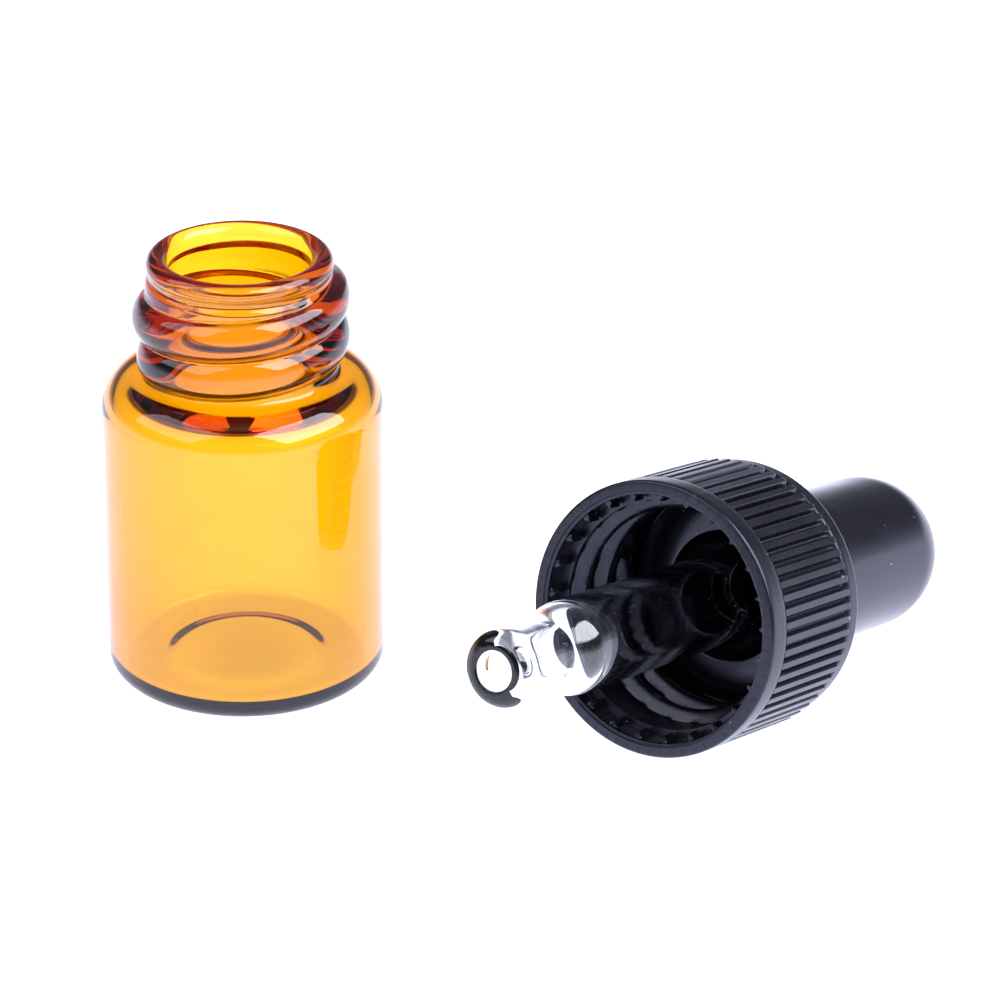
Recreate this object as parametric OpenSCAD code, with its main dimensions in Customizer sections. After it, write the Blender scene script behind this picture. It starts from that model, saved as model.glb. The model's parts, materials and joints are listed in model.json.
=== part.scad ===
// Small glass dropper bottle, open, with its screw-cap dropper lying beside it.
// The bottle stands on z = 0 with its axis on the Z axis. Sizes are in millimetres.

/* [Bottle] */
// Outer diameter of the bottle's body
body_d = 16; // [14:0.5:24]
// Height from the foot to the top of the lip
bottle_h = 25.6; // [24:0.2:32]
// Thickness of the side wall
wall = 0.95; // [0.7:0.05:1.2]
// Thickness of the glass under the contents, at the wall
base_t = 0.95; // [0.9:0.05:1.3]
// How far the middle of the base is pushed up
push_up = 0.25; // [0:0.05:0.5]
// Radius of the rounded foot
heel_r = 1.1; // [0.6:0.1:1.6]
// Radius of the rounded shoulder
shoulder_r = 2.15; // [1.5:0.05:2.15]

/* [Neck] */
// Outer diameter of the neck between the threads
neck_d = 10.7; // [10.5:0.1:11]
// Diameter of the neck's bore
bore_d = 8.1; // [8:0.1:8.3]
// Height of the neck above the shoulder
neck_h = 7.1; // [6.8:0.1:7.4]
// Diameter over the neck's thread
thread_d = 12.3; // [11.8:0.1:12.4]
// Rise of the thread in one turn
thread_pitch = 2.3; // [2:0.1:2.5]

/* [Collar] */
// Diameter over the collar's ribs
collar_d = 15.5; // [15:0.1:15.5]
// Length of the collar along the dropper
collar_l = 9.7; // [9.4:0.1:10.5]
// Number of grip ribs round the collar
rib_count = 64; // [32:2:72]
// Number of small teeth just inside the collar's mouth
tooth_count = 25; // [12:1:36]

/* [Bulb] */
// Outer diameter of the rubber bulb
bulb_d = 8.95; // [8.5:0.05:9.5]
// Length of the bulb that stands out of the collar
bulb_l = 17.75; // [16:0.05:22]
// Thickness of the bulb's wall
bulb_wall = 0.95; // [0.7:0.05:1.2]

/* [Pipette] */
// Outer diameter of the glass pipette
pipette_d = 5.17; // [4.9:0.01:5.2]
// Diameter of the pipette's narrower tip
tip_d = 4.2; // [3.8:0.1:4.5]
// Length of the pipette that stands out of the collar's mouth
pipette_out = 15.45; // [14:0.05:18]
// Thickness of the pipette's glass
pipette_wall = 0.65; // [0.5:0.05:0.8]

/* [Hidden] */
$fn = 96;
// Gap of a running fit, and the thin overlap that joins two solids of one body
fit_gap = 0.05;
join = 0.02;

// Bottle: radii and heights
body_r = body_d / 2;
inner_r = body_r - wall;
neck_r = neck_d / 2;
bore_r = bore_d / 2;
shoulder_z = bottle_h - neck_h;
// The lip is a full-round bead, set a little inside the neck
lip_r = 0.61;
lip_mid = bore_r + lip_r;
lip_z = bottle_h - lip_r;
waist_r = neck_r - 0.22;
waist_z = bottle_h - 1.3;
// Curve between the shoulder and the neck, and the one inside it
root_r = 0.45;
inner_shoulder_r = 0.95;
inner_foot_r = 0.5;
// Flat underside of the shoulder, and the curve from it into the bore
ceiling_z = shoulder_z - 1.27;
bore_root_r = 1.2;
// Rise of the middle of the inside, and the step of the push-up
dome_h = 0.4;
step_in_r = 3.8;
step_out_r = 5.05;
body_top_z = shoulder_z - shoulder_r;

// Thread of the neck: a round-crested ridge that fades in and out
thread_first_z = 19.2;
thread_turns = 1.87;
thread_start_turn = -0.65;
thread_run = 0.25;
thread_step = 10;
ridge_sink = 0.2;
ridge_end_share = 0.25;
ridge_half_w = 0.95;
ridge_h = (thread_d - neck_d) / 2;

// Dropper, along its own axis: zero at the collar's mouth, growing towards the bulb's end
rim_r = collar_d / 2;
rim_in_r = 6.95;
rim_l = 1.4;
rib_end = 8.5;
rib_r = 0.23;
rib_out_r = collar_d / 2;
groove_r = rib_out_r - 0.38;
back_r = 7.55;
edge_r = 0.3;
// Inside of the collar, and its thread
collar_in_r = 6.45;
collar_top_t = 1.1;
collar_in_l = collar_l - collar_top_t;
collar_hole_r = 3.8;
collar_ridge_h = 0.7;
collar_ridge_half_w = 0.55;
collar_thread_z = 2.15;
collar_thread_turns = 2.17;
collar_thread_run = 0.08;
collar_thread_start_turn = 0.14;
// Teeth inside the collar's mouth
tooth_h = 0.42;
tooth_w = 0.55;
tooth_z0 = 0.35;
tooth_z1 = 1.35;
// Bulb: flange that seals on the bottle's lip, neck through the collar, and squeezable end
flange_r = 6.05;
flange_z = 7.75;
flange_back_z = collar_in_l - fit_gap;
recess_r = 3.7;
recess_l = 1.1;
bulb_neck_r = collar_hole_r - fit_gap;
bulb_r = bulb_d / 2;
bulb_z0 = collar_l + fit_gap;
bulb_end = collar_l + bulb_l;
bulb_ball_z = bulb_end - bulb_r;
cavity_r = bulb_r - bulb_wall;
sleeve_z0 = 9.1;
sleeve_z1 = 11;
sleeve_r = pipette_d / 2 + fit_gap;
// Pipette: the tube's end in the bulb, the shoulder and the round-ended tip
pip_r = pipette_d / 2;
pip_in_r = pip_r - pipette_wall;
tip_r = tip_d / 2;
tip_in_r = 1.35;
tip_hole_r = 1.05;
tip_end = -pipette_out;
tip_neck = tip_end + 4.6;
tip_shoulder = tip_neck + 2.4;
tip_hole_l = 0.9;
pip_top_round = 0.2;

// How the dropper lies: on the collar's back edge and on the ball of the bulb's end
lie_a = back_r - edge_r;
lie_b = bulb_ball_z - collar_l + edge_r;
tilt = acos((bulb_r - edge_r) / sqrt(lie_a * lie_a + lie_b * lie_b)) - atan2(lie_b, lie_a);
lie_turn = 55;
mouth_x = 23.05;
mouth_y = -12.85;
mouth_z = bulb_r + sin(tilt) * bulb_ball_z;

// Points on an arc of radius r about (x, y), from angle a0 to a1
function arc(x, y, r, a0, a1, n = 12) =
    [for (i = [0 : n]) let (a = a0 + (a1 - a0) * i / n) [x + r * cos(a), y + r * sin(a)]];

// Share of a ridge's full height over the turns: it rises from a blunt end, and drops to one
function fade(t, turns, run) = let (u = min(t, turns - t) / run) u >= 1 ? 1 : u * u * (3 - 2 * u);

// Ring of points across a ridge that stands out of a wall of radius r by h (inwards when h < 0).
// Its flanks start under the wall's surface and cross it steeply.
function ridge_ring(a, z, r, h, half_w, n = 8) =
    let (sink = h > 0 ? -ridge_sink : ridge_sink)
    [for (i = [0 : n]) let (s = -1 + 2 * i / n, d = r + sink + (h - sink) * cos(90 * s))
        [d * cos(a), d * sin(a), z + s * half_w]];

// A helical ridge as one closed mesh: right-handed, starting at turn t0 and height z0
module helix_ridge(r, h, half_w, z0, t0, turns, pitch, run) {
    steps = round(turns * 360 / thread_step);
    rings = [for (k = [0 : steps])
        let (t = turns * k / steps, low = ridge_end_share)
        ridge_ring(360 * (t0 + t), z0 + pitch * t, r,
                   h * (low + (1 - low) * fade(t, turns, run)), half_w)];
    m = len(rings[0]);
    points = [for (ring = rings) each ring];
    // The rings run the other way round when the ridge points outwards
    flip = h > 0;
    sides = [for (k = [0 : steps - 1], i = [0 : m - 1])
        let (j = (i + 1) % m, a = k * m + i, b = k * m + j, c = a + m, d = b + m)
        each (flip ? [[a, b, c], [b, d, c]] : [[a, c, b], [b, c, d]])];
    first = [for (i = [1 : m - 2]) flip ? [0, i + 1, i] : [0, i, i + 1]];
    last_0 = steps * m;
    last = [for (i = [1 : m - 2])
        flip ? [last_0, last_0 + i, last_0 + i + 1] : [last_0, last_0 + i + 1, last_0 + i]];
    polyhedron(points = points, faces = concat(sides, first, last), convexity = 6);
}

// Puts what is drawn along the dropper's own axis where the dropper lies
module lying() {
    translate([mouth_x, mouth_y, mouth_z])
        rotate([0, 90 + tilt, lie_turn])
            children();
}

// Outer outline of the glass, from the axis round the foot, shoulder and lip to the bore
module glass_outline() {
    polygon(concat(
        [[0, base_t + dome_h], [step_in_r, base_t + dome_h / 3]],
        arc(inner_r - inner_foot_r, base_t + inner_foot_r, inner_foot_r, 270, 360),
        arc(inner_r - inner_shoulder_r, ceiling_z - inner_shoulder_r, inner_shoulder_r, 0, 90),
        arc(bore_r + bore_root_r, ceiling_z + bore_root_r, bore_root_r, 270, 180),
        arc(lip_mid, lip_z, lip_r, 180, -40),
        [[waist_r, waist_z], [neck_r, waist_z - 0.35]],
        arc(neck_r + root_r, shoulder_z + root_r, root_r, 180, 270),
        arc(body_r - shoulder_r, body_top_z, shoulder_r, 90, 0),
        arc(body_r - heel_r, heel_r, heel_r, 0, -90),
        [[step_out_r, 0], [step_in_r, push_up], [0, push_up]]));
}

module bottle() {
    color([0.93, 0.55, 0.08, 0.55])
        difference() {
            union() {
                rotate_extrude() glass_outline();
                helix_ridge(neck_r, ridge_h, ridge_half_w, thread_first_z, thread_start_turn,
                            thread_turns, thread_pitch, thread_run);
            }
            // True round bore through the neck
            translate([0, 0, ceiling_z + bore_root_r - 0.05])
                cylinder(r = bore_r, h = lip_z - ceiling_z - bore_root_r + 0.05);
        }
}

// Glass tube with a narrower round-ended tip; its other end sits in the bulb's sleeve
module glass_pipette() {
    color([0.9, 0.94, 0.97, 0.45])
        lying()
            rotate_extrude()
                polygon(concat(
                    [[tip_hole_r, tip_end + 0.35], [tip_hole_r, tip_end + tip_hole_l],
                     [tip_in_r, tip_end + tip_hole_l + 0.7], [tip_in_r, tip_neck + 0.3],
                     [pip_in_r, tip_shoulder + 0.3]],
                    [[pip_in_r, sleeve_z1 - pip_top_round]],
                    arc(pip_r - pip_top_round, sleeve_z1 - pip_top_round, pip_top_round, 90, 0, 4),
                    [[pip_r, tip_shoulder], [pip_r - 0.12, tip_shoulder - 0.5],
                     [tip_r + 0.1, tip_neck + 0.5], [tip_r, tip_neck]],
                    arc(tip_r - 0.6, tip_end + 0.6, 0.6, 0, -90, 8),
                    [[tip_hole_r + 0.2, tip_end + 0.1]]));
}

// Ring of grip ribs as one outline, drawn across the dropper's axis
module rib_outline() {
    circle(r = groove_r);
    for (i = [0 : rib_count - 1])
        rotate(i * 360 / rib_count)
            translate([groove_r - 0.02, -rib_r])
                square([rib_out_r - groove_r + 0.02, 2 * rib_r]);
}

module cap_collar() {
    color([0.07, 0.07, 0.09])
        lying() {
            difference() {
                union() {
                    translate([0, 0, rim_l - join])
                        linear_extrude(height = rib_end - rim_l + join) rib_outline();
                    rotate_extrude()
                        polygon(concat(
                            [[collar_hole_r - 1, 0.1], [rim_in_r, 0], [rim_r - 0.15, 0], [rim_r, 0.15],
                             [rim_r, rim_l], [groove_r, rim_l], [groove_r, rib_end], [back_r, rib_end]],
                            arc(back_r - edge_r, collar_l - edge_r, edge_r, 0, 90, 6),
                            [[collar_hole_r - 1, collar_l]]));
                }
                translate([0, 0, -1]) cylinder(r = rim_in_r, h = 1 + tooth_z1 + 0.15);
                translate([0, 0, -1]) cylinder(r = collar_in_r, h = 1 + collar_in_l);
                translate([0, 0, -1]) cylinder(r = collar_hole_r, h = collar_l + 2);
            }
            // Small pointed teeth inside the mouth
            for (i = [0 : tooth_count - 1])
                rotate(i * 360 / tooth_count)
                    translate([rim_in_r + 0.05, 0, tooth_z0])
                        linear_extrude(height = tooth_z1 - tooth_z0)
                            polygon([[0, -tooth_w / 2], [0, tooth_w / 2], [-tooth_h - 0.05, 0]]);
            helix_ridge(collar_in_r, -collar_ridge_h, collar_ridge_half_w, collar_thread_z,
                        collar_thread_start_turn, collar_thread_turns, thread_pitch,
                        collar_thread_run);
        }
}

module rubber_bulb() {
    color([0.05, 0.05, 0.07])
        lying()
            rotate_extrude()
                polygon(concat(
                    [[sleeve_r, sleeve_z0], [recess_r - 0.7, flange_z + recess_l],
                     [recess_r, flange_z + 0.1], [recess_r + 0.1, flange_z],
                     [flange_r - 0.2, flange_z], [flange_r, flange_z + 0.2], [flange_r, flange_back_z],
                     [bulb_neck_r, flange_back_z], [bulb_neck_r, bulb_z0],
                     [bulb_r - 0.25, bulb_z0], [bulb_r, bulb_z0 + 0.25]],
                    arc(0, bulb_ball_z, bulb_r, 0, 90, 24),
                    arc(0, bulb_ball_z, cavity_r, 90, 0, 20),
                    [[cavity_r, sleeve_z1 + 1], [cavity_r - 0.5, sleeve_z1], [sleeve_r, sleeve_z1]]));
}

bottle();
glass_pipette();
cap_collar();
rubber_bulb();
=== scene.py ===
"""A small amber glass bottle, open and empty, with its black dropper cap lying beside it."""

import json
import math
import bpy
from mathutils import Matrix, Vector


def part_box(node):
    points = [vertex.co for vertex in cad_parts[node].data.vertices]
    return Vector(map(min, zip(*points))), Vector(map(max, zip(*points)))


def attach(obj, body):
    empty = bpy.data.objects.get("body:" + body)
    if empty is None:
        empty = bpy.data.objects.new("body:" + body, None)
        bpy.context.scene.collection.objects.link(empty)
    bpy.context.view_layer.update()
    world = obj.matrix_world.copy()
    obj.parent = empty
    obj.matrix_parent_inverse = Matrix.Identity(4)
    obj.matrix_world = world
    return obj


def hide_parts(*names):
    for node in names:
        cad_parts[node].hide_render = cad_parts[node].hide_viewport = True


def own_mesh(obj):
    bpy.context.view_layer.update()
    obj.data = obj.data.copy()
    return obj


bl_info = {
    "name": "Dropper Bottle",
    "version": (1, 0, 0),
    "blender": (4, 5, 0),
    "location": "View3D > Sidebar > Dropper Bottle",
    "description": "Builds an amber glass bottle and its dropper cap on a pale floor",
    "category": "Add Mesh",
}

import bmesh
import bpy
import numpy as np
from bpy.props import (
    FloatProperty,
    FloatVectorProperty,
    IntProperty,
    PointerProperty,
)
from mathutils import Matrix, Vector

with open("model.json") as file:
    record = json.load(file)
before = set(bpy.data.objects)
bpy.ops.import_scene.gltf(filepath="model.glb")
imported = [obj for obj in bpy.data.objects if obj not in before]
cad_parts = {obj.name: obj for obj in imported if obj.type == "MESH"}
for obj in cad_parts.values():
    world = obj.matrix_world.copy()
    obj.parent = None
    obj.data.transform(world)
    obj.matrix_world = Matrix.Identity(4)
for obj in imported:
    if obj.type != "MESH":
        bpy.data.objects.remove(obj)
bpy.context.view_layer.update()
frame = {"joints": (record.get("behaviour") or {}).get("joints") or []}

MM = 0.001
BOTTLE_LOW, BOTTLE_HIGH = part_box("bottle")
JOINTS = {joint["name"]: joint for joint in frame["joints"]}

# The dropper's own axes: zero at the middle of the collar's mouth, deep towards the bulb's end
MOUTH = Vector(JOINTS["collar_turn"]["pos_m"])
DEEP = -Vector(JOINTS["collar_turn"]["axis"]).normalized()
ACROSS = Vector((0, 0, 1)).cross(DEEP).normalized()
UNDER = ACROSS.cross(DEEP)
LYING = Matrix.Translation(MOUTH) @ Matrix((UNDER, ACROSS, DEEP)).transposed().to_4x4()


# ---------------------------------------------------------------- settings


def length(name, description, millimetres):
    """A size property, given in millimetres and kept in metres."""
    return FloatProperty(
        name=name,
        description=description,
        default=millimetres * MM,
        min=0.0,
        precision=5,
        unit="LENGTH",
        subtype="DISTANCE",
    )


def colour(name, description, value):
    """A colour property."""
    return FloatVectorProperty(
        name=name,
        description=description,
        default=value,
        min=0.0,
        max=1.0,
        size=3,
        subtype="COLOR",
    )


class BottleSettings(bpy.types.PropertyGroup):
    """Sizes of the glass bottle."""

    body_diameter: FloatProperty(
        name="Body diameter",
        description="Outside diameter of the straight body",
        default=BOTTLE_HIGH.x - BOTTLE_LOW.x,
        unit="LENGTH",
        subtype="DISTANCE",
    )
    height: FloatProperty(
        name="Height",
        description="Height of the bottle to the top of its lip",
        default=BOTTLE_HIGH.z,
        unit="LENGTH",
        subtype="DISTANCE",
    )
    wall: length("Wall", "Thickness of the body's glass", 0.95)
    base: length("Base", "Thickness of the glass at the foot", 0.95)
    push_up: length("Push-up", "Rise of the underside at its middle", 0.25)
    shoulder_round: length("Shoulder rounding", "Radius of the shoulder", 2.15)
    heel_round: length("Heel rounding", "Radius of the heel", 1.1)
    neck_diameter: length("Neck diameter", "Outside diameter under the thread", 10.7)
    bore: length("Bore", "Inside diameter of the neck", 8.1)
    neck_height: length("Neck height", "Shoulder to the top of the lip", 7.1)
    thread_diameter: length("Thread diameter", "Diameter over the thread", 12.3)
    thread_pitch: length("Thread pitch", "Rise of the thread in one turn", 2.3)


class DropperSettings(bpy.types.PropertyGroup):
    """Sizes of the dropper cap."""

    collar: length("Collar diameter", "Diameter over the grip ribs", 15.5)
    collar_length: length("Collar length", "Mouth to back of the collar", 9.7)
    ribs: IntProperty(
        name="Grip ribs", description="Ribs round the collar", default=64, min=8
    )
    teeth: IntProperty(
        name="Teeth", description="Small teeth inside the mouth", default=25, min=3
    )
    bulb: length("Bulb diameter", "Diameter of the squeezed end", 8.95)
    bulb_length: length("Bulb length", "Bulb behind the collar", 17.75)
    bulb_wall: length("Bulb wall", "Thickness of the rubber", 0.95)
    pipette: length("Pipette diameter", "Diameter of the glass tube", 5.17)
    tip: length("Tip diameter", "Diameter of the narrow tip", 4.2)
    reach: length("Pipette reach", "Tube in front of the collar's mouth", 15.45)
    tube_wall: length("Tube wall", "Thickness of the pipette's glass", 0.65)


class FinishSettings(bpy.types.PropertyGroup):
    """Colours of the materials."""

    amber: colour("Amber", "What the glass lets through, a millimetre deep", (0.953, 0.833, 0.0))
    amber_depth: FloatProperty(
        name="Amber depth",
        description="How fast the glass deepens in colour, per metre",
        default=3000.0,
        min=0.0,
    )
    plastic: colour("Plastic", "Colour of the moulded collar", (0.003, 0.0031, 0.0055))
    plastic_worn: colour("Worn plastic", "Colour of its rubbed edges", (0.02, 0.02, 0.03))
    rubber: colour("Rubber", "Colour of the bulb", (0.0025, 0.0026, 0.005))
    dust: colour("Dust", "Colour of the specks", (0.42, 0.43, 0.47))


class StageSettings(bpy.types.PropertyGroup):
    """Camera, floor and lights."""

    lens: FloatProperty(
        name="Lens",
        description="Focal length",
        default=157.75,
        unit="CAMERA",
    )
    elevation: FloatProperty(
        name="Elevation",
        description="How far the camera looks down",
        default=math.radians(25.864),
        subtype="ANGLE",
    )
    roll: FloatProperty(
        name="Roll",
        description="Turn of the camera about its line of sight",
        default=math.radians(0.516),
        subtype="ANGLE",
    )
    distance: length("Distance", "Camera to the middle of the group", 251.37)
    floor: colour("Floor", "Colour of the floor", (0.28, 0.28, 0.29))
    surroundings: FloatProperty(
        name="Surroundings",
        description="Brightness of the pale surroundings",
        default=1.0,
        min=0.0,
    )


# ---------------------------------------------------------------- shapes


def arc(x, y, radius, start, end, steps=12):
    """Points on an arc about (x, y), from one angle in degrees to another."""
    return [
        (
            x + radius * math.cos(math.radians(start + (end - start) * i / steps)),
            y + radius * math.sin(math.radians(start + (end - start) * i / steps)),
        )
        for i in range(steps + 1)
    ]


def spread(low, high, step):
    """Evenly spaced numbers from low to high, both left out."""
    count = max(int(abs(high - low) / step), 1)
    return [low + (high - low) * i / count for i in range(1, count)]


def ease(x):
    """Goes smoothly from 0 to 1 as x does."""
    x = np.clip(x, 0.0, 1.0)
    return x * x * (3 - 2 * x)


class Shell:
    """Points and faces of one closed mesh about its own axis, in millimetres."""

    def __init__(self):
        self.points = []
        self.faces = []

    def ring(self, radius, height, angles):
        """Adds a ring of points and gives back their numbers."""
        start = len(self.points)
        radius = np.broadcast_to(radius, angles.shape)
        height = np.broadcast_to(height, angles.shape)
        xs = radius * np.cos(angles)
        ys = radius * np.sin(angles)
        self.points.extend(zip(xs.tolist(), ys.tolist(), height.tolist()))
        return list(range(start, len(self.points)))

    def band(self, one, two):
        """Joins two rings of the same count."""
        count = len(one)
        for i in range(count):
            j = (i + 1) % count
            self.faces.append((one[i], one[j], two[j], two[i]))

    def bands(self, rings):
        """Joins each ring to the next."""
        for one, two in zip(rings, rings[1:]):
            self.band(one, two)

    def fan(self, ring, height):
        """Closes a ring with a point on the axis."""
        pole = len(self.points)
        self.points.append((0.0, 0.0, height))
        count = len(ring)
        for i in range(count):
            self.faces.append((ring[i], ring[(i + 1) % count], pole))

    def seam(self, one, one_angles, two, two_angles):
        """Joins two rings of different counts that start near the same angle."""
        i = j = 0
        full = 2 * math.pi
        while i < len(one) or j < len(two):
            next_one = one_angles[i + 1] if i + 1 < len(one) else one_angles[0] + full
            next_two = two_angles[j + 1] if j + 1 < len(two) else two_angles[0] + full
            a, b = one[i % len(one)], two[j % len(two)]
            if j >= len(two) or (i < len(one) and next_one <= next_two):
                self.faces.append((a, one[(i + 1) % len(one)], b))
                i += 1
            else:
                self.faces.append((a, two[(j + 1) % len(two)], b))
                j += 1

    def build(self, name, place=Matrix.Identity(4), sharp=None):
        """Makes the object, with its points put in place and its faces turned outwards."""
        mesh = bpy.data.meshes.new(name)
        mesh.from_pydata(self.points, [], self.faces)
        mesh.transform(place @ Matrix.Scale(MM, 4))
        work = bmesh.new()
        work.from_mesh(mesh)
        bmesh.ops.recalc_face_normals(work, faces=work.faces)
        work.to_mesh(mesh)
        work.free()
        mesh.shade_smooth()
        if sharp is not None:
            mesh.set_sharp_from_angle(angle=math.radians(sharp))
        thing = bpy.data.objects.new(name, mesh)
        bpy.context.scene.collection.objects.link(thing)
        return thing


def even_angles(count):
    """Angles all round, count of them."""
    return 2 * math.pi * np.arange(count) / count


def helix_height(angles, heights, first, start_turn, turns, pitch, half_width, run, power=1.1):
    """Share of its full height that a helical ridge has at each angle and height.

    It rises to full height over a run of turns at each end. A power under 1 blunts its crest.
    """
    soft = 0.12  # how gently two turns that meet are joined
    total = np.zeros(np.broadcast(angles, heights).shape)
    base = angles / (2 * math.pi) - start_turn
    for turn in range(-3, 5):
        along = base + turn
        away = (heights - (first + pitch * along)) / half_width
        rise = ease(np.minimum(along, turns - along) / run)
        inside = np.clip(1 - away**2, 0.0, 1.0)
        ridge = rise * inside**power * ease(inside / 0.25)
        meeting = np.clip(1 - np.abs(total - ridge) / soft, 0.0, 1.0)
        filled = meeting**2 * ease(np.minimum(total, ridge) / soft)
        total = np.maximum(total, ridge) + 0.25 * soft * filled
    return total


def mm(value):
    """A kept size as millimetres."""
    return value / MM


# ---------------------------------------------------------------- materials


def new_tree(name):
    """An empty material and its node tree."""
    material = bpy.data.materials.new(name)
    material.use_nodes = True
    material.node_tree.nodes.clear()
    return material, material.node_tree


def add(tree, kind, **values):
    """Adds a node and sets its fields and its inputs by name."""
    node = tree.nodes.new(kind)
    for key, value in values.items():
        if key in node.inputs:
            node.inputs[key].default_value = value
        else:
            setattr(node, key, value)
    return node


def math_node(tree, operation, one, two):
    """A Math node fed by sockets or plain numbers."""
    node = tree.nodes.new("ShaderNodeMath")
    node.operation = operation
    for slot, value in enumerate((one, two)):
        if isinstance(value, (int, float)):
            node.inputs[slot].default_value = value
        else:
            tree.links.new(value, node.inputs[slot])
    return node.outputs[0]


def ranged(tree, value, low, high, to_low=0.0, to_high=1.0):
    """Maps a socket's range smoothly to another."""
    node = add(tree, "ShaderNodeMapRange", interpolation_type="SMOOTHSTEP")
    node.inputs["From Min"].default_value = low
    node.inputs["From Max"].default_value = high
    node.inputs["To Min"].default_value = to_low
    node.inputs["To Max"].default_value = to_high
    tree.links.new(value, node.inputs["Value"])
    return node.outputs["Result"]


def mixed(tree, mask, one, two):
    """Mixes two colours, each a socket or a plain colour, by a mask."""
    node = add(tree, "ShaderNodeMix", data_type="RGBA")
    tree.links.new(mask, node.inputs["Factor"])
    colours = {socket.name: socket for socket in node.inputs if socket.type == "RGBA"}
    for name, value in (("A", one), ("B", two)):
        if hasattr(value, "is_linked"):
            tree.links.new(value, colours[name])
        else:
            colours[name].default_value = (*value, 1.0)
    return next(socket for socket in node.outputs if socket.type == "RGBA")


def new_group(name, inputs, outputs):
    """A shader node group with float sockets, and its two ends."""
    group = bpy.data.node_groups.new(name, "ShaderNodeTree")
    for label, value in inputs:
        socket = group.interface.new_socket(label, in_out="INPUT", socket_type="NodeSocketFloat")
        socket.default_value = value
    for label in outputs:
        group.interface.new_socket(label, in_out="OUTPUT", socket_type="NodeSocketFloat")
    return group, group.nodes.new("NodeGroupInput"), group.nodes.new("NodeGroupOutput")


def dust_group():
    """Scattered specks: each cell of a pattern may hold one, of its own size."""
    name = "Dust Specks"
    if name in bpy.data.node_groups:
        return bpy.data.node_groups[name]
    group, given, result = new_group(
        name, [("Cells", 1500.0), ("Share", 0.1), ("Size", 0.2)], ["Mask"]
    )
    place = add(group, "ShaderNodeTexCoord")
    cells = add(group, "ShaderNodeTexVoronoi", feature="F1")
    group.links.new(place.outputs["Object"], cells.inputs["Vector"])
    group.links.new(given.outputs["Cells"], cells.inputs["Scale"])
    parts = add(group, "ShaderNodeSeparateColor")
    group.links.new(cells.outputs["Color"], parts.inputs["Color"])
    size = math_node(group, "MULTIPLY", given.outputs["Size"], parts.outputs["Green"])
    inside = math_node(group, "LESS_THAN", cells.outputs["Distance"], size)
    chosen = math_node(group, "LESS_THAN", parts.outputs["Red"], given.outputs["Share"])
    mask = math_node(group, "MULTIPLY", inside, chosen)
    faint = math_node(group, "MULTIPLY", mask, parts.outputs["Blue"])
    group.links.new(faint, result.inputs["Mask"])
    return group


def grain_group():
    """Fine grain of a moulded skin over broad uneven patches."""
    name = "Moulded Grain"
    if name in bpy.data.node_groups:
        return bpy.data.node_groups[name]
    group, given, result = new_group(
        name, [("Grain Scale", 9000.0), ("Patch Scale", 500.0)], ["Grain", "Patches"]
    )
    place = add(group, "ShaderNodeTexCoord")
    for scale, output, detail in (("Grain Scale", "Grain", 3.0), ("Patch Scale", "Patches", 4.0)):
        noise = add(group, "ShaderNodeTexNoise", Detail=detail)
        group.links.new(place.outputs["Object"], noise.inputs["Vector"])
        group.links.new(given.outputs[scale], noise.inputs["Scale"])
        group.links.new(noise.outputs["Fac"], result.inputs[output])
    return group


def wear_group():
    """Where raised edges are rubbed."""
    name = "Edge Wear"
    if name in bpy.data.node_groups:
        return bpy.data.node_groups[name]
    group, given, result = new_group(
        name, [("Edge", 0.52), ("Full", 0.62), ("Break Up", 1200.0)], ["Mask"]
    )
    shape = add(group, "ShaderNodeNewGeometry")
    reach = add(group, "ShaderNodeMapRange", interpolation_type="SMOOTHSTEP")
    group.links.new(shape.outputs["Pointiness"], reach.inputs["Value"])
    group.links.new(given.outputs["Edge"], reach.inputs["From Min"])
    group.links.new(given.outputs["Full"], reach.inputs["From Max"])
    place = add(group, "ShaderNodeTexCoord")
    noise = add(group, "ShaderNodeTexNoise", Detail=4.0)
    group.links.new(place.outputs["Object"], noise.inputs["Vector"])
    group.links.new(given.outputs["Break Up"], noise.inputs["Scale"])
    kept = ranged(group, noise.outputs["Fac"], 0.3, 0.65)
    rubbed = math_node(group, "MULTIPLY", reach.outputs["Result"], kept)
    group.links.new(rubbed, result.inputs["Mask"])
    return group


def use_group(tree, group, **values):
    """Places a node group in a material with its own values."""
    node = tree.nodes.new("ShaderNodeGroup")
    node.node_tree = group
    for key, value in values.items():
        node.inputs[key.replace("_", " ")].default_value = value
    return node


def finish_material(tree, shader, volume=None):
    """Sends a shader, and a volume if given, to the material's output."""
    output = add(tree, "ShaderNodeOutputMaterial")
    tree.links.new(shader.outputs[0], output.inputs["Surface"])
    if volume is not None:
        tree.links.new(volume.outputs[0], output.inputs["Volume"])


def glass(name, tint, ior, dust_share, dust_colour, wave):
    """Clear or coloured glass: drawn smooth, slightly uneven, with a few specks on it."""
    material, tree = new_tree(name)
    surface = add(tree, "ShaderNodeBsdfPrincipled")
    surface.inputs["Transmission Weight"].default_value = 1.0
    surface.inputs["IOR"].default_value = ior
    specks = use_group(tree, dust_group(), Cells=2600.0, Share=dust_share, Size=0.16)
    tree.links.new(
        mixed(tree, specks.outputs["Mask"], tint, dust_colour), surface.inputs["Base Color"]
    )
    tree.links.new(
        math_node(tree, "MULTIPLY", specks.outputs["Mask"], 0.6), surface.inputs["Roughness"]
    )
    skin = use_group(tree, grain_group(), Grain_Scale=420.0, Patch_Scale=160.0)
    bump = add(tree, "ShaderNodeBump", Strength=wave, Distance=0.02 * MM)
    tree.links.new(skin.outputs["Patches"], bump.inputs["Height"])
    tree.links.new(bump.outputs["Normal"], surface.inputs["Normal"])
    return material, tree, surface


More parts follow.
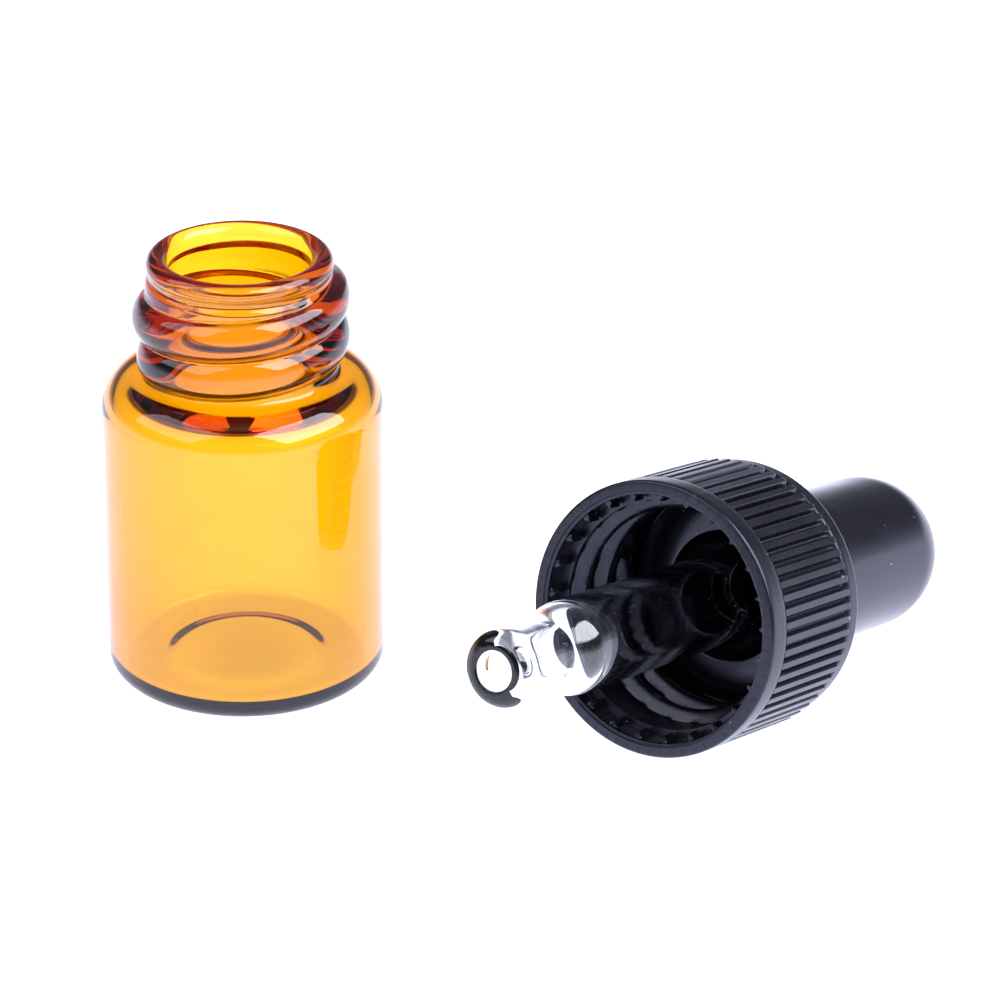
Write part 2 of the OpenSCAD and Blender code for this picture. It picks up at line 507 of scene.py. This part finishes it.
def amber_glass(finish):
    """Amber glass, coloured through its depth, so thick places are deeper."""
    material, tree, surface = glass("Amber Glass", (1.0, 1.0, 1.0), 1.52, 0.012, finish.dust, 0.35)
    depth = add(tree, "ShaderNodeVolumeAbsorption")
    depth.inputs["Color"].default_value = (*finish.amber, 1.0)
    depth.inputs["Density"].default_value = finish.amber_depth
    finish_material(tree, surface, depth)
    return material


def clear_glass(finish):
    """The pipette's clear glass, dusty from use."""
    material, tree, surface = glass("Clear Glass", (0.985, 0.99, 1.0), 1.5, 0.07, finish.dust, 0.25)
    finish_material(tree, surface)
    return material


def black_plastic(finish):
    """Moulded black plastic: satin, finely grained, rubbed paler on its edges."""
    material, tree = new_tree("Black Plastic")
    surface = add(tree, "ShaderNodeBsdfPrincipled")
    surface.inputs["Specular Tint"].default_value = (0.8, 0.83, 1.0, 1.0)
    skin = use_group(tree, grain_group(), Grain_Scale=7000.0, Patch_Scale=420.0)
    wear = use_group(tree, wear_group(), Edge=0.57, Full=0.7, Break_Up=1500.0)
    specks = use_group(tree, dust_group(), Cells=2200.0, Share=0.06, Size=0.18)
    rubbed = mixed(tree, wear.outputs["Mask"], finish.plastic, finish.plastic_worn)
    tree.links.new(
        mixed(tree, specks.outputs["Mask"], rubbed, finish.dust), surface.inputs["Base Color"]
    )
    tree.links.new(
        ranged(tree, skin.outputs["Patches"], 0.3, 0.7, 0.22, 0.32), surface.inputs["Roughness"]
    )
    bump = add(tree, "ShaderNodeBump", Strength=0.3, Distance=0.012 * MM)
    tree.links.new(skin.outputs["Grain"], bump.inputs["Height"])
    tree.links.new(bump.outputs["Normal"], surface.inputs["Normal"])
    finish_material(tree, surface)
    return material


def black_rubber(finish):
    """Smooth black rubber with a soft shine and clinging dust."""
    material, tree = new_tree("Black Rubber")
    surface = add(tree, "ShaderNodeBsdfPrincipled")
    surface.inputs["Specular Tint"].default_value = (0.78, 0.8, 1.0, 1.0)
    skin = use_group(tree, grain_group(), Grain_Scale=5200.0, Patch_Scale=300.0)
    specks = use_group(tree, dust_group(), Cells=2600.0, Share=0.16, Size=0.13)
    tree.links.new(
        mixed(tree, specks.outputs["Mask"], finish.rubber, finish.dust),
        surface.inputs["Base Color"],
    )
    tree.links.new(
        ranged(tree, skin.outputs["Patches"], 0.3, 0.7, 0.16, 0.24), surface.inputs["Roughness"]
    )
    bump = add(tree, "ShaderNodeBump", Strength=0.25, Distance=0.01 * MM)
    tree.links.new(skin.outputs["Grain"], bump.inputs["Height"])
    tree.links.new(bump.outputs["Normal"], surface.inputs["Normal"])
    finish_material(tree, surface)
    return material


# ---------------------------------------------------------------- pieces


class BottlePiece(bpy.types.Operator):
    """Builds the amber glass bottle with its threaded neck"""

    bl_idname = "dropper_bottle.bottle"
    bl_label = "Build Bottle"

    def execute(self, context):
        size = context.scene.dropper_bottle
        body = mm(size.body_diameter) / 2
        top = mm(size.height)
        inner = body - mm(size.wall)
        base = mm(size.base)
        push = mm(size.push_up)
        shoulder = mm(size.shoulder_round)
        heel = mm(size.heel_round)
        neck = mm(size.neck_diameter) / 2
        bore = mm(size.bore) / 2
        shoulder_z = top - mm(size.neck_height)
        ridge = (mm(size.thread_diameter) - mm(size.neck_diameter)) / 2
        pitch = mm(size.thread_pitch)
        lip = 0.61
        lip_middle = bore + lip
        lip_z = top - lip
        # Outside: the underside's step, heel, straight body, shoulder and neck, up to the lip
        step_in = 3.8
        step_out = 5.05
        neck_root = 0.45
        outline = [(1.4, push), (2.8, push)]
        for i in range(11):
            share = i / 10
            radius = step_in + (step_out - step_in) * share
            outline.append((radius, push * (1 - float(ease(share)))))
        outline += [(5.4, 0.0)]
        outline += arc(body - heel, heel, heel, -90, 0, 12)
        outline += [(body, z) for z in spread(heel, shoulder_z - shoulder, 0.8)]
        outline += arc(body - shoulder, shoulder_z - shoulder, shoulder, 0, 90, 16)
        outline += arc(neck + neck_root, shoulder_z + neck_root, neck_root, 270, 180, 8)
        waist = top - 1.3
        taper = 0.35
        outline += [(neck, z) for z in spread(shoulder_z + neck_root, waist - taper, 0.055)]
        for share in (0, 0.2, 0.4, 0.6, 0.8, 1):
            narrowed = neck - 0.1 * share - 0.12 * share * share
            outline.append((narrowed, waist - taper + taper * share))
        outline += arc(lip_middle, lip_z, lip, -40, 180, 28)
        # Inside: the bore, the shoulder's hollow, the wall and the bottom
        hollow = 0.95
        ceiling = shoulder_z - 1.27
        bore_root = 1.2
        foot_round = 0.5
        dome = 0.4
        outline += [(bore, z) for z in spread(lip_z, ceiling + bore_root, 0.3)]
        outline += arc(bore + bore_root, ceiling + bore_root, bore_root, 180, 270, 12)
        outline += arc(inner - hollow, ceiling - hollow, hollow, 90, 0, 10)
        outline += [(inner, z) for z in spread(ceiling - hollow, base + foot_round, 0.8)]
        outline += arc(inner - foot_round, base + foot_round, foot_round, 0, -90, 12)
        flat = inner - foot_round
        for radius in (6.0, 5.4, 4.7, 4.0, 3.2, 2.4, 1.6, 0.8):
            rise = dome * 0.5 * (1 + math.cos(math.pi * radius / flat))
            outline.append((radius, base + rise))
        angles = even_angles(384)
        shell = Shell()
        rings = []
        for radius, height in outline:
            grown = radius
            if neck - 0.3 < radius < neck + 0.3 and shoulder_z < height < lip_z - 0.2:
                # The thread fades out under the lip and above the shoulder
                kept = float(ease((waist + 0.1 - height) / 0.7))
                kept *= float(ease((height - shoulder_z) / 0.5))
                grown = radius + ridge * kept * helix_height(
                    angles,
                    height,
                    first=19.2,
                    start_turn=-0.65,
                    turns=2.08,
                    pitch=pitch,
                    half_width=1.28,
                    run=0.27,
                    power=0.66,
                )
            rings.append(shell.ring(grown, height, angles))
        shell.bands(rings)
        shell.fan(rings[0], push)
        shell.fan(rings[-1], base + dome)
        bottle = shell.build("bottle_glass")
        bottle.data.materials.append(amber_glass(context.scene.dropper_finish))
        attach(bottle, "bottle")
        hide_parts("bottle")
        return {"FINISHED"}


class PipettePiece(bpy.types.Operator):
    """Builds the clear glass pipette with its round-ended tip"""

    bl_idname = "dropper_bottle.pipette"
    bl_label = "Build Pipette"

    def execute(self, context):
        size = context.scene.dropper_cap
        tube = mm(size.pipette) / 2
        tip = mm(size.tip) / 2
        bore = tube - mm(size.tube_wall)
        tip_bore = 1.35
        hole = 1.1
        end = -mm(size.reach)
        neck = end + 4.6
        shoulder = neck + 2.4
        back = mm(size.collar_length) + 1.3
        nose = 0.88
        back_round = 0.2
        bore_round = 0.15
        inside = 0.3  # how far the bore's narrowing lags behind the outside's
        # Outside: the rounded tip, the swell to the tube and its plain end
        outline = arc(tip - nose, end + nose, nose, -84, 0, 16)
        outline += [(tip, z) for z in spread(end + nose, neck, 0.4)]
        for i in range(17):
            share = i / 16
            radius = tip + (tube - tip) * float(ease(share))
            outline.append((radius, neck + (shoulder - neck) * share))
        outline += [(tube, z) for z in spread(shoulder, back - back_round, 0.8)]
        outline += arc(tube - back_round, back - back_round, back_round, 0, 90, 5)
        # Inside: the bore, its narrowing and the hole at the tip
        outline += arc(bore + bore_round, back - bore_round, bore_round, 90, 180, 4)
        outline += [(bore, z) for z in spread(back - bore_round, shoulder + inside, 0.8)]
        for i in range(17):
            share = i / 16
            radius = bore + (tip_bore - bore) * float(ease(share))
            outline.append((radius, shoulder + inside + (neck - shoulder) * share))
        outline += [(tip_bore, z) for z in spread(neck + 0.2, end + 1.6, 0.4)]
        outline += [(tip_bore, end + 1.6), (1.3, end + 1.35), (1.17, end + 1.1), (hole, end + 0.85)]
        outline += arc(hole + 0.1, end + 0.11, 0.1, 180, 260, 5)
        angles = even_angles(128)
        shell = Shell()
        rings = [shell.ring(radius, height, angles) for radius, height in outline]
        shell.bands(rings + rings[:1])
        pipette = shell.build("pipette_glass", LYING)
        pipette.data.materials.append(clear_glass(context.scene.dropper_finish))
        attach(pipette, "dropper")
        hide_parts("glass_pipette")
        return {"FINISHED"}


class CollarPiece(bpy.types.Operator):
    """Builds the ribbed screw collar with the thread and teeth inside it"""

    bl_idname = "dropper_bottle.collar"
    bl_label = "Build Collar"

    def execute(self, context):
        size = context.scene.dropper_cap
        rim = mm(size.collar) / 2
        back = mm(size.collar_length)
        rim_band = 1.4
        rib_end = 8.5
        groove = rim - 0.38
        back_band = rim - 0.2
        rim_inner = 6.95
        wall = 6.45
        seat = back - 1.1
        hole = 3.8
        thread = 0.7
        pitch = mm(context.scene.dropper_bottle.thread_pitch)
        # Outside: columns close together on the flanks of each rib
        step = 2 * math.pi / size.ribs
        half = 0.23 / rim
        steps = [-1.75, -1.32, -1.08, -0.78, -0.38, 0.0, 0.38, 0.78, 1.08, 1.32, 1.75]
        across = np.array(steps) * half
        out_angles = (step * np.arange(size.ribs)[:, None] + across[None, :]).ravel()
        nearest = np.round(out_angles / step) * step
        aside = np.abs(out_angles - nearest) * rim
        shell = Shell()
        rows = [(7.35, 0.0)] + arc(rim - 0.18, 0.18, 0.18, -90, 0, 6)
        rows += [(rim, d) for d in (0.6, 1.0, rim_band - 0.08)]
        rows += arc(rim - 0.06, rim_band - 0.06, 0.06, 30, 90, 3)
        rings = [shell.ring(radius, depth, out_angles) for radius, depth in rows]
        lengthwise = [rim_band + 0.02, rim_band + 0.1] + spread(rim_band + 0.1, rib_end - 0.8, 0.5)
        lengthwise += spread(rib_end - 0.8, rib_end + 0.12, 0.05)
        for depth in lengthwise:
            past = max(depth - (rib_end - 0.3), 0.0)
            far = np.sqrt(aside**2 + past**2)
            raised = ease((0.33 - far) / 0.13)
            floor = groove + (back_band - groove) * float(ease((depth - rib_end + 0.05) / 0.16))
            rings.append(shell.ring(floor + (rim - floor) * raised, depth, out_angles))
        rows = [(back_band, d) for d in (rib_end + 0.14, rib_end + 0.4, back - 0.35)]
        rows += arc(back_band - 0.3, back - 0.3, 0.3, 0, 90, 8) + [(6.2, back), (5.4, back)]
        rings += [shell.ring(radius, depth, out_angles) for radius, depth in rows]
        shell.bands(rings)
        # Inside: the hole, the seat, the threaded wall, the toothed mouth and the rim's face
        per_tooth = 16
        in_angles = even_angles(size.teeth * per_tooth)
        rows = [(5.0, back), (hole + 0.1, back), (hole, back - 0.1)]
        rows += [(hole, seat + 0.1), (hole + 0.1, seat), (5.0, seat), (wall - 0.25, seat)]
        rows += arc(wall - 0.2, seat - 0.2, 0.2, 90, 0, 4)[1:]
        inner = [shell.ring(radius, depth, in_angles) for radius, depth in rows]
        for depth in spread(seat - 0.2, 1.55, 0.1):
            raised = thread * helix_height(
                in_angles,
                depth,
                first=2.15,
                start_turn=0.14,
                turns=2.17,
                pitch=pitch,
                half_width=0.62,
                run=0.08,
            )
            inner.append(shell.ring(wall - raised, depth, in_angles))
        tooth_angle = 2 * math.pi / size.teeth
        tooth_height = 0.42
        tooth_half = 0.29
        near = np.abs(in_angles - np.round(in_angles / tooth_angle) * tooth_angle) * rim_inner
        tooth = tooth_height * np.clip(1 - near / tooth_half, 0, 1)
        rows = [(wall, 1.52), (6.6, 1.5), (6.93, 1.46)]
        inner += [shell.ring(radius, depth, in_angles) for radius, depth in rows]
        rows = [(1.4, 0.0), (1.36, 0.85), (1.3, 1.0), (0.9, 1.0), (0.5, 0.95), (0.36, 0.8), (0.3, 0.0)]
        for depth, share in rows:
            inner.append(shell.ring(rim_inner - tooth * share, depth, in_angles))
        rows = [(rim_inner, 0.15), (rim_inner + 0.02, 0.11), (rim_inner + 0.06, 0.08)]
        rows += [(7.13, 0.08), (7.17, 0.0), (7.25, 0.0)]
        inner += [shell.ring(radius, depth, in_angles) for radius, depth in rows]
        shell.bands(inner)
        shell.seam(rings[0], out_angles, inner[-1], in_angles)
        shell.seam(rings[-1], out_angles, inner[0], in_angles)
        collar = shell.build("collar_shell", LYING, sharp=42)
        collar.data.materials.append(black_plastic(context.scene.dropper_finish))
        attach(collar, "collar")
        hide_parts("cap_collar")
        return {"FINISHED"}


class BulbPiece(bpy.types.Operator):
    """Builds the rubber bulb: its sealing flange and neck, and the teat that is squeezed"""

    bl_idname = "dropper_bottle.bulb"
    bl_label = "Build Bulb"

    def execute(self, context):
        size = context.scene.dropper_cap
        back = mm(size.collar_length)
        radius = mm(size.bulb) / 2
        end = back + mm(size.bulb_length)
        ball = end - radius
        cavity = radius - mm(size.bulb_wall)
        start = back + 0.05
        flange = 6.05
        flange_z = 7.75
        flange_back = back - 1.15
        neck = 3.75
        recess = 3.7
        sleeve = mm(size.pipette) / 2 + 0.05
        angles = even_angles(160)
        rubber = black_rubber(context.scene.dropper_finish)
        # Flange and neck inside the collar
        outline = arc(recess + 0.12, flange_z + 0.12, 0.12, 180, 270, 4)
        outline += arc(flange - 0.2, flange_z + 0.2, 0.2, -90, 0, 5)
        outline += [(flange, flange_back - 0.02), (flange - 0.02, flange_back)]
        outline += [(neck + 0.02, flange_back)]
        outline += [(neck, flange_back + 0.02), (neck, start - 0.02)]
        outline += [(neck - 0.02, start), (sleeve + 0.02, start), (sleeve, start - 0.02)]
        outline += [(sleeve, 9.3)] + arc(sleeve + 0.12, 9.25, 0.12, 150, 240, 3)
        outline += [(3.0, flange_z + 1.1)]
        shell = Shell()
        rings = [shell.ring(r, z, angles) for r, z in outline]
        shell.bands(rings + rings[:1])
        flange_piece = shell.build("bulb_neck", LYING)
        flange_piece.data.materials.append(rubber)
        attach(flange_piece, "dropper")
        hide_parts("rubber_bulb")
        # The teat behind the collar, hollow
        outline = [(sleeve + 0.1, start + 0.02)] + arc(radius - 0.25, start + 0.25, 0.25, -90, 0, 6)
        outline += [(radius, z) for z in spread(start + 0.25, ball, 0.5)]
        outline += arc(0, ball, radius, 0, 88, 30)
        hollow = arc(0, ball, cavity, 88, 0, 24)
        hollow += [(cavity, z) for z in spread(ball, 12.0, 0.8)]
        hollow += [(cavity, 12.0), (cavity - 0.5, 11.0), (sleeve + 0.02, 10.98)]
        hollow += [(sleeve, 10.9), (sleeve, start + 0.1)]
        shell = Shell()
        outer = [shell.ring(r, z, angles) for r, z in outline]
        inner = [shell.ring(r, z, angles) for r, z in hollow]
        shell.bands(outer)
        shell.bands(inner)
        shell.fan(outer[-1], end)
        shell.fan(inner[0], end - mm(size.bulb_wall))
        shell.band(inner[-1], outer[0])
        teat = shell.build("bulb_teat", LYING)
        teat.data.materials.append(rubber)
        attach(teat, "dropper")
        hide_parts("rubber_bulb")
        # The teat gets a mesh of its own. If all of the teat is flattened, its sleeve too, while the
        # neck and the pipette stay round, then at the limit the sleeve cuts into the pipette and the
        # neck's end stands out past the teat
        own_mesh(teat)
        return {"FINISHED"}


# ---------------------------------------------------------------- stage


def soft_box(name, place, target, width, height, power, tint):
    """A large soft light that faces a point."""
    lamp = bpy.data.lights.new(name, "AREA")
    lamp.shape = "RECTANGLE"
    lamp.size = width
    lamp.size_y = height
    lamp.energy = power
    lamp.color = tint
    thing = bpy.data.objects.new(name, lamp)
    bpy.context.scene.collection.objects.link(thing)
    thing.location = place
    thing.rotation_euler = (Vector(target) - Vector(place)).to_track_quat("-Z", "Y").to_euler()


class StagePiece(bpy.types.Operator):
    """Sets out the floor, the soft lights and the camera"""

    bl_idname = "dropper_bottle.stage"
    bl_label = "Build Stage"

    def execute(self, context):
        stage = context.scene.dropper_stage
        middle = Vector((14.667, 0, 10.386)) * MM
        # Floor: one wide, pale sheet
        work = bmesh.new()
        bmesh.ops.create_grid(work, x_segments=8, y_segments=8, size=1.5)
        mesh = bpy.data.meshes.new("floor")
        work.to_mesh(mesh)
        work.free()
        floor = bpy.data.objects.new("floor", mesh)
        floor.location.z = -0.02 * MM
        context.scene.collection.objects.link(floor)
        material, tree = new_tree("Pale Floor")
        surface = add(tree, "ShaderNodeBsdfPrincipled", Roughness=0.7)
        surface.inputs["Base Color"].default_value = (*stage.floor, 1.0)
        surface.inputs["Specular IOR Level"].default_value = 0.1
        surface.inputs["Emission Color"].default_value = (0.76, 0.8, 1.0, 1.0)
        surface.inputs["Emission Strength"].default_value = 1.7
        finish_material(tree, surface)
        mesh.materials.append(material)
        # Surroundings: a dim room, so the floor and the soft boxes are what the glass shows
        world = bpy.data.worlds.new("Studio")
        context.scene.world = world
        world.use_nodes = True
        tree = world.node_tree
        tree.nodes.clear()
        back = add(tree, "ShaderNodeBackground")
        back.inputs["Color"].default_value = (0.78, 0.82, 1.0, 1.0)
        place = add(tree, "ShaderNodeTexCoord")
        split = add(tree, "ShaderNodeSeparateXYZ")
        tree.links.new(place.outputs["Generated"], split.inputs["Vector"])
        glow = ranged(tree, split.outputs["Z"], 0.0, 0.2, 1.2 * stage.surroundings, 0.24)
        tree.links.new(glow, back.inputs["Strength"])
        output = add(tree, "ShaderNodeOutputWorld")
        tree.links.new(back.outputs[0], output.inputs["Surface"])
        cool = (0.9, 0.9, 1.0)
        soft_box("left_box", (-0.254, -0.098, 0.293), middle, 0.42, 0.3, 1.0, cool)
        soft_box("right_box", (0.254, -0.098, 0.293), middle, 0.44, 0.32, 3.7, cool)
        # Camera
        lens = bpy.data.cameras.new("camera")
        lens.lens = stage.lens
        lens.sensor_width = 36.0
        lens.clip_start = 0.005
        camera = bpy.data.objects.new("camera", lens)
        context.scene.collection.objects.link(camera)
        down = stage.elevation
        ahead = Vector((0, math.cos(down), -math.sin(down)))
        upright = Vector((0, math.sin(down), math.cos(down)))
        side = Vector((1, 0, 0)) * math.cos(stage.roll) + upright * math.sin(stage.roll)
        up = side.cross(ahead)
        turn = Matrix((side, up, -ahead)).transposed().to_4x4()
        camera.matrix_world = Matrix.Translation(middle - ahead * stage.distance) @ turn
        context.scene.camera = camera
        context.scene.view_settings.view_transform = "Standard"
        return {"FINISHED"}


# ---------------------------------------------------------------- panel


PIECES = (BottlePiece, PipettePiece, CollarPiece, BulbPiece, StagePiece)


class DropperBottlePanel(bpy.types.Panel):
    """Lists the pieces and their sizes"""

    bl_idname = "VIEW3D_PT_dropper_bottle"
    bl_label = "Dropper Bottle"
    bl_space_type = "VIEW_3D"
    bl_region_type = "UI"
    bl_category = "Dropper Bottle"

    def draw(self, context):
        column = self.layout.column()
        for piece in PIECES:
            column.operator(piece.bl_idname)
        for name in SETTINGS:
            group = getattr(context.scene, name)
            box = column.box()
            for key in group.bl_rna.properties.keys():
                if key not in ("name", "rna_type"):
                    box.prop(group, key)


SETTINGS = {
    "dropper_bottle": BottleSettings,
    "dropper_cap": DropperSettings,
    "dropper_finish": FinishSettings,
    "dropper_stage": StageSettings,
}


def register():
    """Registers every class and hangs the settings on the scene."""
    for group in SETTINGS.values():
        bpy.utils.register_class(group)
    for name, group in SETTINGS.items():
        setattr(bpy.types.Scene, name, PointerProperty(type=group))
    for piece in PIECES:
        bpy.utils.register_class(piece)
    bpy.utils.register_class(DropperBottlePanel)


def unregister():
    """Takes away what register put in."""
    bpy.utils.unregister_class(DropperBottlePanel)
    for piece in reversed(PIECES):
        bpy.utils.unregister_class(piece)
    for name in SETTINGS:
        delattr(bpy.types.Scene, name)
    for group in reversed(list(SETTINGS.values())):
        bpy.utils.unregister_class(group)


def main():
    """Builds every piece and the stage."""
    register()
    bpy.ops.dropper_bottle.bottle()
    bpy.ops.dropper_bottle.pipette()
    bpy.ops.dropper_bottle.collar()
    bpy.ops.dropper_bottle.bulb()
    bpy.ops.dropper_bottle.stage()


if __name__ == "__main__":
    main()
